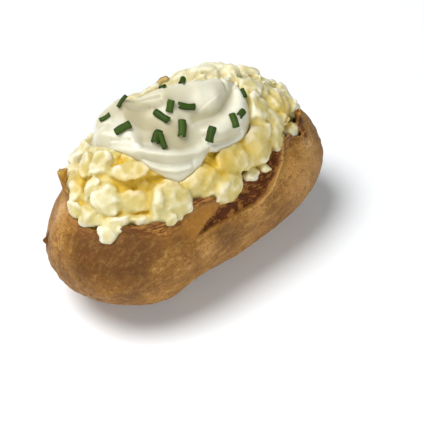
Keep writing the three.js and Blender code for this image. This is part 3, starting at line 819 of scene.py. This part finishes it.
def heap_field(grid):
    """Distance to the surface of the flesh, about in mm and under 0 inside it."""
    x, y, z = np.moveaxis(grid, -1, 0)
    bent = bent_grid(grid)
    random = np.random.default_rng(11)
    level = CORE_LEVEL + CORE_CLIMB * smooth(8, -5, x)
    inset = FLESH_INSET + TEAR_INSET * smooth(-14, -4, x) * smooth(0, -10, y)
    core = np.maximum(potato_field(grid, inset - CORE_SPARE), bent[..., 2] - level)
    field = soft_union(dome_field(bent) + CORE_UNDER, core, CORE_BLEND)
    for chunk in heap_chunks(random):
        add_chunk(field, bent, chunk, random, True)
    wall = np.maximum(potato_field(grid, inset), z - WALL_TOP)
    field = np.maximum(field, kept_inside(wall, smooth(*WALL_ENDS, z)))
    for chunk in CHUNKS:
        add_chunk(field, bent, chunk, random, False)
    field = np.maximum(field, behind_flap(grid))
    field += (1 + 0.7 * smooth(28, 40, x)) * layered(grid, FLESH_GRAIN)
    field = np.maximum(field, cream_cut(grid))
    return np.maximum(field, HEAP_LOW - z)


def flesh_masks(field, points):
    """How deep points lie in narrow and wide hollows, which sets the butter and painted shade of the creases
    and the painted highlight of the tips, and how golden with butter or white with painted highlight they
    are.
    """
    solid = clamp(0.5 - field / (2 * VOXEL)).astype(np.float32)
    tint = patched(points, FLESH_BUTTER_AND_PAINTED_HIGHLIGHT)
    return {
        "fine": sampled(blurred(solid, FINE_BLUR), points),
        "deep": sampled(blurred(solid, DEEP_BLUR), points),
        "butter": clamp(tint),
        "white": clamp(-tint),
    }


def flesh():
    axes = [np.arange(a, b, VOXEL, dtype=np.float32) for a, b in zip(GRID_LOW, GRID_HIGH)]
    field = heap_field(np.stack(np.meshgrid(*axes, indexing="ij"), -1))
    volume = openvdb.FloatGrid(background=FIELD_BAND)
    volume.copyFromArray(np.clip(field, -FIELD_BAND, FIELD_BAND).astype(np.float32))
    points, quads = largest_part(*volume.convertToQuads())
    points = points * VOXEL + GRID_LOW
    faces = quads[:, ::-1].tolist()
    return piece("flesh_heap", points, faces, flesh_masks(field, points), flesh_material())


def cream_bed(x, y):
    """Where the cream lies on the heap, and the direction out of the heap there."""
    half = DOME + BED_OVER
    p = (x - DOME_CENTRE[0]) / half[0]
    q = (y - DOME_CENTRE[1]) / half[1]
    rise = np.maximum(BED_LEAST, 1 - dome_level(p, q) ** DOME_RISE) ** (1 / DOME_RISE)
    point = np.stack([x, y, DOME_CENTRE[2] + half[2] * rise], -1)
    return point, dome_normal(p, q, rise)


def fold_height(x, y):
    height = np.zeros_like(x)
    for lift, left, right, line in CREAM_FOLDS:
        nearest = np.full_like(x, np.inf)
        spread = np.full_like(x, left)
        for (x0, y0), (x1, y1) in zip(line, line[1:]):
            dx, dy = x1 - x0, y1 - y0
            t = clamp(((x - x0) * dx + (y - y0) * dy) / (dx * dx + dy * dy))
            off_x, off_y = x - x0 - t * dx, y - y0 - t * dy
            gap = np.hypot(off_x, off_y)
            closer = gap < nearest
            nearest = np.where(closer, gap, nearest)
            spread = np.where(closer, np.where(dx * off_y - dy * off_x > 0, left, right), spread)
        height = height + lift * bell(nearest, spread)
    return height


def outline_points(count):
    """The cream's outline as a smooth closed curve through its corners."""
    corners = np.array(CREAM_OUTLINE, float)
    turn = np.arange(count) / count * len(corners)
    i = turn.astype(int)
    w = (turn - i)[:, None]
    a, b, c, d = (corners[(i + k) % len(corners)] for k in (-1, 0, 1, 2))
    return 0.5 * (2 * b + (c - a) * w + (2 * a - 5 * b + 4 * c - d) * w**2 + (3 * b - a - 3 * c + d) * w**3)


CREAM_EDGE = outline_points(EDGE_POINTS)


def cream_share(x, y):
    """How far x, y lies from the middle of the cream towards its edge, as a share."""
    way = np.stack([x, y], -1) - CREAM_CENTRE
    spokes = CREAM_EDGE - CREAM_CENTRE
    turns, at = (np.arctan2(v[..., 1], v[..., 0]) for v in (spokes, way))
    edge = np.interp(at, turns, np.linalg.norm(spokes, axis=-1), period=2 * np.pi)
    return np.linalg.norm(way, axis=-1) / edge


def cream_height(x, y, share):
    """Thickness of the cream, at least CREAM_THIN but for its round edge."""
    ripple = layered(np.stack([x, y, 0 * x], -1), CREAM_RIPPLE)
    over_thin = CREAM_THICK - CREAM_THIN + fold_height(x, y) + ripple
    height = CREAM_THIN + FOLD_SOFT * np.logaddexp(0, over_thin / FOLD_SOFT)
    return height * np.maximum(0, 1 - share**EDGE_ROUND) ** EDGE_POWER


def cream_cut(grid):
    """Keeps the flesh under the cream: over 0 where the cream is."""
    x, y = grid[:, :, 0, 0], grid[:, :, 0, 1]
    bed, _ = cream_bed(x, y)
    room = bed[..., 2] - CREAM_ROOM + ROOM_RISE * smooth(*ROOM_BESIDE, cream_share(x, y))
    return (grid[..., 2] - room[..., None]) * ROOM_SLOPE


def cream_top(x, y):
    bed, normal = cream_bed(x, y)
    return bed + normal * cream_height(x, y, np.minimum(cream_share(x, y), 1))[..., None]


def cream_tilt(x, y):
    """Direction out of the cream's top at x, y."""
    east = cream_top(x + TILT_STEP, y) - cream_top(x - TILT_STEP, y)
    north = cream_top(x, y + TILT_STEP) - cream_top(x, y - TILT_STEP)
    return unit(np.cross(east, north))


def cream_painted_shade(x, y):
    """How much painted shade a point of the cream gets, from 0 to 1: by how deep in a fold or down its front
    side it lies, and from the shade patches.
    """
    height = fold_height(x, y)
    falling = (height - fold_height(x, y - SLOPE_STEP)) / SLOPE_STEP
    folded = 0.5 * smooth(*HOLLOW_DEPTH, height) + 0.5 * smooth(*HOLLOW_SLOPE, falling)
    return clamp(folded + patched(np.stack([x, y], -1), CREAM_PAINTED_SHADE_PATCHES))


def cream_face(shares, over):
    """Rings of the cream's top or underside at shares of the way to its edge, and their mask of painted
    shade.
    """
    edge = outline_points(CREAM_AROUND)
    share = shares[:, None]
    x, y = np.moveaxis(CREAM_CENTRE + share[..., None] * (edge - CREAM_CENTRE), -1, 0)
    bed, normal = cream_bed(x, y)
    if over:
        lift = cream_height(x, y, share)
    else:
        lift = -CREAM_SUNK * np.sqrt(np.maximum(0, 1 - share**UNDER_ROUND))
    return bed + normal * lift[..., None], cream_painted_shade(x, y)


def cream():
    under_shares = np.arange(1, CREAM_UNDER_ROWS + 1) / (CREAM_UNDER_ROWS + 1)
    over_shares = np.sin(np.arange(CREAM_ROWS, 0, -1) / CREAM_ROWS * np.pi / 2)
    under, under_shade = cream_face(under_shares, False)
    over, over_shade = cream_face(over_shares, True)
    rings = np.concatenate([under, over])[:, ::-1]
    hollow = np.concatenate([under_shade, over_shade])[:, ::-1]
    x, y = CREAM_CENTRE[:, None].astype(float)
    bed, normal = cream_bed(x, y)
    top = bed + normal * cream_height(x, y, 0 * x)[:, None]
    points, faces = closed_rings(rings, bed - normal * CREAM_SUNK, top)
    # The cream's mask holds its painted shade.
    masks = {"hollow": np.append(hollow, [0, cream_painted_shade(x, y)[0]])}
    return piece("sour_cream_dollop", points, faces, masks, cream_material())


def turned(vectors, normal):
    """Vectors turned the shortest way that brings +Z onto the normal."""
    turn = Vector((0, 0, 1)).rotation_difference(Vector(normal))
    return np.array([turn @ Vector(v) for v in vectors])


def rotated(points, degrees, start, end):
    """Points turned from one axis towards another."""
    cos, sin = cos_sin(degrees)
    turn = np.eye(3)
    turn[start, start] = turn[end, end] = cos
    turn[start, end] = sin
    turn[end, start] = -sin
    return points @ turn


def chive(random, x, y, length, radius, around, lean=0, lift=0):
    """Points of one hollow snip, as a closed ring of sections, with how each is shaded."""
    across = np.arange(CHIVE_SIDES) / CHIVE_SIDES * 2 * np.pi
    along = np.linspace(-0.5, 0.5, CHIVE_STEPS)
    inner = radius - CHIVE_WALL
    sections = [(t, radius) for t in along] + [(t, inner) for t in along[::-1]]
    bow = random.uniform(-CHIVE_BOW, CHIVE_BOW)
    flat = random.uniform(*CHIVE_FLAT)
    slant = random.uniform(-CHIVE_SLANT, CHIVE_SLANT)
    rows = []
    for t, r in sections:
        away = t * length + slant * r * np.cos(across)
        side = r * np.cos(across) * (1 + CHIVE_SWELL * math.sin(9 * t + bow)) + bow * 4 * t * t
        rise = r * np.sin(across) * flat
        rows.append(np.stack([away, side, rise], -1))
    points = rotated(rotated(np.array(rows).reshape(-1, 3), lean, 0, 2), around, 0, 1)
    x, y = np.array([x, y], float)
    normal = cream_tilt(x, y)
    points = turned(points, normal) + cream_top(x, y) + normal * (CHIVE_SEAT * radius * flat + lift)
    hollow = np.repeat([0.0] * CHIVE_STEPS + [1.0] * CHIVE_STEPS, CHIVE_SIDES)
    streak = np.tile(across, 2 * CHIVE_STEPS)
    tint = np.full(len(points), random.uniform(0, 1))
    return points, {"hollow": hollow, "streak": streak, "tint": tint}


def chives():
    random = np.random.default_rng(3)
    snips, shades = zip(*(chive(random, *snip) for snip in CHIVES))
    tube = grid_faces(2 * CHIVE_STEPS, CHIVE_SIDES, True)[:, ::-1]
    faces = np.vstack([tube + i * len(snips[0]) for i in range(len(snips))]).tolist()
    masks = {key: np.concatenate([shade[key] for shade in shades]) for key in shades[0]}
    return piece("chive_snips", np.vstack(snips), faces, masks, chive_material())


class Shader:
    """A procedural material, with short names for its nodes."""

    def __init__(self, name):
        self.material = bpy.data.materials.new(name)
        self.material.use_nodes = True
        self.tree = self.material.node_tree
        self.surface = self.tree.nodes["Principled BSDF"]
        self.place = self.node("ShaderNodeTexCoord").outputs["Object"]

    def node(self, kind, **settings):
        made = self.tree.nodes.new(kind)
        for key, value in settings.items():
            setattr(made, key, value)
        return made

    def set(self, socket, value):
        if isinstance(value, bpy.types.NodeSocket):
            self.tree.links.new(value, socket)
        else:
            socket.default_value = value

    def math(self, operation, a, b=0.0):
        made = self.node("ShaderNodeMath", operation=operation)
        for socket, value in zip(made.inputs, (a, b)):
            self.set(socket, value)
        return made.outputs[0]

    def times(self, a, b):
        return self.math("MULTIPLY", a, b)

    def mask(self, name):
        return self.node("ShaderNodeAttribute", attribute_name=name).outputs["Fac"]

    def stretched(self, x, y, z):
        made = self.node("ShaderNodeMapping")
        self.set(made.inputs["Vector"], self.place)
        made.inputs["Scale"].default_value = (x, y, z)
        return made.outputs[0]

    def noise(self, size, detail, rough, kind="FBM", place=None):
        """Noise with lumps of about `size` mm."""
        made = self.node("ShaderNodeTexNoise", noise_type=kind)
        self.set(made.inputs["Vector"], self.place if place is None else place)
        made.inputs["Scale"].default_value = 1 / (size * MM)
        made.inputs["Detail"].default_value = detail
        made.inputs["Roughness"].default_value = rough
        return made.outputs["Fac"]

    def span(self, value, low, high, to_low=0.0, to_high=1.0):
        """The value's way from low to high, eased, as a value from to_low to to_high."""
        made = self.node("ShaderNodeMapRange", interpolation_type="SMOOTHSTEP")
        for socket, given in zip(made.inputs, (value, low, high, to_low, to_high)):
            self.set(socket, given)
        return made.outputs[0]

    def mix(self, share, a, b):
        made = self.node("ShaderNodeMix", data_type="RGBA")
        self.set(made.inputs["Factor"], share)
        for key, value in (("A", a), ("B", b)):
            socket = [s for s in made.inputs if s.name == key and s.type == "RGBA"][0]
            self.set(socket, value if isinstance(value, bpy.types.NodeSocket) else (*value, 1))
        return [s for s in made.outputs if s.type == "RGBA"][0]

    def bumps(self, *layers):
        """Relief in layers on top of each other: height, depth in mm and strength of each."""
        normal = None
        for height, depth, strength in layers:
            made = self.node("ShaderNodeBump")
            made.inputs["Distance"].default_value = depth * MM
            self.set(made.inputs["Strength"], strength)
            self.set(made.inputs["Height"], height)
            if normal is not None:
                self.set(made.inputs["Normal"], normal)
            normal = made.outputs[0]
        return normal

    def finish(self, **sockets):
        for key, value in sockets.items():
            self.set(self.surface.inputs[key.replace("_", " ")], value)
        return self.material


def skin_colour(s, mottle, speckle, flecks):
    """Colour of the whole skin: its tone, then what lies on it, mostly by how pale it is there."""
    scuffs = s.noise(1.9, 5, 0.65, place=s.stretched(0.3, 1.0, 0.7))
    # The tone carries the skin patches: painted shade on the front left under the flesh, and a painted
    # highlight at the top of the left end.
    tone = s.math("ADD", s.mask("baked"), s.span(s.noise(13, 3, 0.55), 0.3, 0.7, -0.35, 0.35))
    colour = s.mix(s.span(tone, -0.95, 0.2), (0.120, 0.046, 0.008), (0.300, 0.130, 0.022))
    colour = s.mix(s.span(tone, 0.0, 1.0), colour, (0.50, 0.245, 0.062))
    # Pale tan where the tone rises past 1, mostly a painted highlight at the top of the left end.
    colour = s.mix(s.span(tone, 1.0, 2.2), colour, (0.74, 0.47, 0.22))
    for spots, spots_span, tone_span, paint in (
        (mottle, (0.46, 0.74), (-0.8, 0.6, 0.08, 0.75), (0.48, 0.255, 0.060)),
        (scuffs, (0.48, 0.68), (-0.8, 0.4, 0.2, 0.75), (0.52, 0.30, 0.085)),
        (s.noise(4.2, 4, 0.7), (0.51, 0.64, 0, 0.6), None, (0.17, 0.062, 0.012)),
        (speckle, (0.34, 0.50, 0.6, 0), None, (0.14, 0.048, 0.009)),
        (speckle, (0.52, 0.68), (-0.5, 0.5, 0.05, 0.35), (0.56, 0.33, 0.11)),
        (flecks, (0.50, 0.72), (-0.6, 0.4, 0.18, 0.45), (0.50, 0.28, 0.075)),
        (s.noise(2.2, 1, 0.5), (0.74, 0.79, 0, 0.7), None, (0.06, 0.022, 0.008)),
    ):
        share = s.span(spots, *spots_span)
        if tone_span:
            share = s.times(share, s.span(tone, *tone_span))
        colour = s.mix(share, colour, paint)
    return colour


def rim_colour(s, colour, shreds):
    """The colour with the tanned front flap and the dark, stringy rim on it."""
    strands = s.noise(1.2, 4, 0.65, place=s.stretched(0.3, 0.5, 1.6))
    colour = s.mix(s.times(s.mask("flap"), 0.6), colour, (0.36, 0.155, 0.025))
    rim = s.times(s.mask("rim"), s.span(shreds, 0.36, 0.48))
    colour = s.mix(rim, colour, (0.15, 0.043, 0.009))
    stringy = s.times(rim, s.span(strands, 0.46, 0.56, 0, 0.85))
    return s.mix(stringy, colour, (0.46, 0.22, 0.048))


def torn_colour(s, fibres, shreds):
    colour = s.mix(s.span(fibres, 0.1, 0.7), (0.105, 0.028, 0.006), (0.47, 0.175, 0.034))
    colour = s.mix(s.span(shreds, 0.50, 0.62, 0, 0.7), colour, (0.47, 0.21, 0.045))
    return s.mix(s.span(shreds, 0.45, 0.36, 0, 0.5), colour, (0.090, 0.024, 0.006))


def skin_material():
    s = Shader("potato_skin")
    mottle = s.noise(2.6, 5, 0.65)
    speckle = s.noise(0.9, 4, 0.65)
    flecks = s.noise(1.3, 4, 0.7, place=s.stretched(0.5, 1.0, 0.8))
    fibres = s.noise(1.2, 5, 0.7, "RIDGED_MULTIFRACTAL", s.stretched(0.45, 1.0, 1.0))
    shreds = s.noise(2.6, 4, 0.7, place=s.stretched(0.6, 1.0, 1.0))
    wrinkles = s.noise(2.4, 4, 0.6, "RIDGED_MULTIFRACTAL", s.stretched(0.6, 1.0, 1.0))
    colour = rim_colour(s, skin_colour(s, mottle, speckle, flecks), shreds)
    colour = s.mix(s.mask("torn"), colour, torn_colour(s, fibres, shreds))
    # Painted highlight: a light line along the edge of the lip under the tear.
    lip_highlight = s.times(s.math("POWER", s.mask("lip"), 2.0), 0.8)
    colour = s.mix(lip_highlight, colour, (0.58, 0.33, 0.10))
    inner = s.mix(s.span(mottle, 0.4, 0.6), (0.42, 0.19, 0.025), (0.70, 0.44, 0.09))
    colour = s.mix(s.mask("inner"), colour, inner)
    colour = s.mix(s.mask("fleshy"), colour, (0.80, 0.64, 0.26))
    scaly = s.span(s.mask("baked"), 0.2, 0.9, 0.15, 1.0)
    normal = s.bumps((wrinkles, 0.26, 0.8), (mottle, 0.6, 0.6), (speckle, 0.25, 0.9),
                     (fibres, 0.5, s.mask("torn")), (flecks, 0.8, scaly))
    rough = s.span(mottle, 0.3, 0.7, 0.45, 0.65)
    return s.finish(Base_Color=colour, Roughness=rough, Normal=normal, Specular_IOR_Level=0.16)


def flesh_material():
    s = Shader("potato_flesh")
    fine = s.mask("fine")
    cloud = s.noise(6, 2, 0.5)
    grain = s.noise(0.7, 3, 0.6)
    # Creases and hollows darkened to a buttery yellow: partly butter that gathers there, partly painted
    # shade.
    crease_shade_and_butter = s.math("ADD", s.span(fine, 0.52, 0.72), s.span(s.mask("deep"), 0.56, 0.76))
    crease_shade_and_butter = s.times(crease_shade_and_butter, s.span(cloud, 0.3, 0.65, 0.35, 1.1))
    butter_and_painted_shade = s.math("ADD", s.times(crease_shade_and_butter, 0.7), s.times(s.mask("butter"), 0.75))
    # Painted highlight: the jutting tips and edges of the lumps are paler.
    tips = s.times(s.span(fine, 0.50, 0.34), s.span(cloud, 0.35, 0.6, 0.3, 1.0))
    colour = s.mix(s.span(cloud, 0.35, 0.65), (0.60, 0.505, 0.19), (0.66, 0.585, 0.29))
    colour = s.mix(tips, colour, (0.82, 0.775, 0.62))
    # Butter, and painted shade in the creases, over the flesh's colour.
    colour = s.mix(s.math("MINIMUM", butter_and_painted_shade, 1.0), colour, (0.66, 0.435, 0.028))
    # Painted highlight: the flesh whitened at the back and on the left, where the light falls strongest.
    colour = s.mix(s.mask("white"), colour, (0.91, 0.88, 0.68))
    colour = s.mix(s.span(grain, 0.35, 0.65, 0.16, 0.0), colour, (0.50, 0.37, 0.13))
    normal = s.bumps((s.noise(1.5, 3, 0.6), 0.15, 0.7), (grain, 0.14, 0.7))
    rough = s.span(cloud, 0.3, 0.7, 0.45, 0.62)
    return s.finish(Base_Color=colour, Roughness=rough, Normal=normal, Subsurface_Weight=0.7,
                    Subsurface_Scale=0.0022, Subsurface_Radius=(1.0, 0.9, 0.55), IOR=1.35)


def cream_material():
    s = Shader("sour_cream")
    cloud = s.noise(9, 2, 0.5)
    colour = s.mix(s.span(cloud, 0.35, 0.65), (0.74, 0.715, 0.58), (0.76, 0.735, 0.605))
    # Painted shade: beige in the cream's folds, on slopes facing the front and in its basin.
    colour = s.mix(s.mask("hollow"), colour, (0.49, 0.435, 0.275))
    normal = s.bumps((s.noise(1.2, 3, 0.5), 0.04, 0.4))
    rough = s.span(cloud, 0.3, 0.7, 0.30, 0.42)
    return s.finish(Base_Color=colour, Roughness=rough, Normal=normal, Subsurface_Weight=0.6,
                    Subsurface_Scale=0.003, Subsurface_Radius=(1.0, 0.9, 0.7), IOR=1.4)


def chive_material():
    s = Shader("chive_green")
    streak = s.math("SINE", s.times(s.mask("streak"), 9.0))
    colour = s.mix(s.mask("tint"), (0.018, 0.038, 0.003), (0.044, 0.082, 0.008))
    colour = s.mix(s.span(streak, -1, 1, 0, 0.35), colour, (0.075, 0.130, 0.014))
    colour = s.mix(s.span(s.noise(0.6, 2, 0.5), 0.4, 0.7, 0, 0.3), colour, (0.022, 0.06, 0.008))
    colour = s.mix(s.mask("hollow"), colour, (0.05, 0.12, 0.02))
    return s.finish(Base_Color=colour, Roughness=0.5, Specular_IOR_Level=0.15)


def floor():
    mesh = bpy.data.meshes.new("floor")
    corners = [(x * FLOOR_HALF, y * FLOOR_HALF, 0) for x, y in ((-1, -1), (1, -1), (1, 1), (-1, 1))]
    mesh.from_pydata(corners, [], [(0, 1, 2, 3)])
    white = Shader("floor_white").finish(
        Base_Color=(0.97, 0.98, 0.99, 1), Roughness=0.9, Specular_IOR_Level=0.0)
    mesh.materials.append(white)
    made = placed("floor", mesh)


def lights():
    for name, (around, up, size, power, colour) in LIGHTS.items():
        light = bpy.data.lights.new(name, "AREA")
        light.shape = "DISK"
        light.size = size
        light.energy = power
        light.color = colour
        made = placed(name, light)
        ahead, aside = cos_sin(around)
        level, rise = cos_sin(up)
        way = Vector((ahead * level, aside * level, rise))
        made.location = way * LIGHT_DISTANCE + Vector((0, 0, LIGHT_AIM))
        made.rotation_euler = way.to_track_quat("Z", "Y").to_euler()


def world():
    made = bpy.data.worlds.new("studio")
    made.use_nodes = True
    background = made.node_tree.nodes["Background"]
    background.inputs["Color"].default_value = WORLD_COLOUR
    background.inputs["Strength"].default_value = WORLD_STRENGTH
    bpy.context.scene.world = made
    bpy.context.scene.view_settings.view_transform = "Standard"


def camera():
    cos, sin = cos_sin(CAMERA_AROUND)
    level, rise = cos_sin(CAMERA_UP)
    back = np.array([sin * level, -cos * level, rise])
    right = np.array([cos, sin, 0])
    up = np.cross(back, right)
    spot = CAMERA_TARGET + back * CAMERA_DISTANCE
    centre = FRAME_PIXELS / 2
    aim = (-back + right * (centre - TARGET_PIXEL[0]) / LENS_PIXELS
           - up * (centre - TARGET_PIXEL[1]) / LENS_PIXELS)
    lens = bpy.data.cameras.new("camera")
    lens.sensor_width = SENSOR
    lens.lens = SENSOR * LENS_PIXELS / FRAME_PIXELS
    lens.clip_start = CLIP_START
    made = placed("camera", lens)
    made.location = Vector((spot - MIDDLE) * MM)
    made.rotation_euler = Vector(aim).to_track_quat("-Z", "Y").to_euler()
    bpy.context.scene.camera = made


def build():
    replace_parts(jacket(), "jacket")
    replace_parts(flesh(), "flesh")
    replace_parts(cream(), "sour_cream")
    chives()
    floor()
    lights()
    world()
    camera()


build()
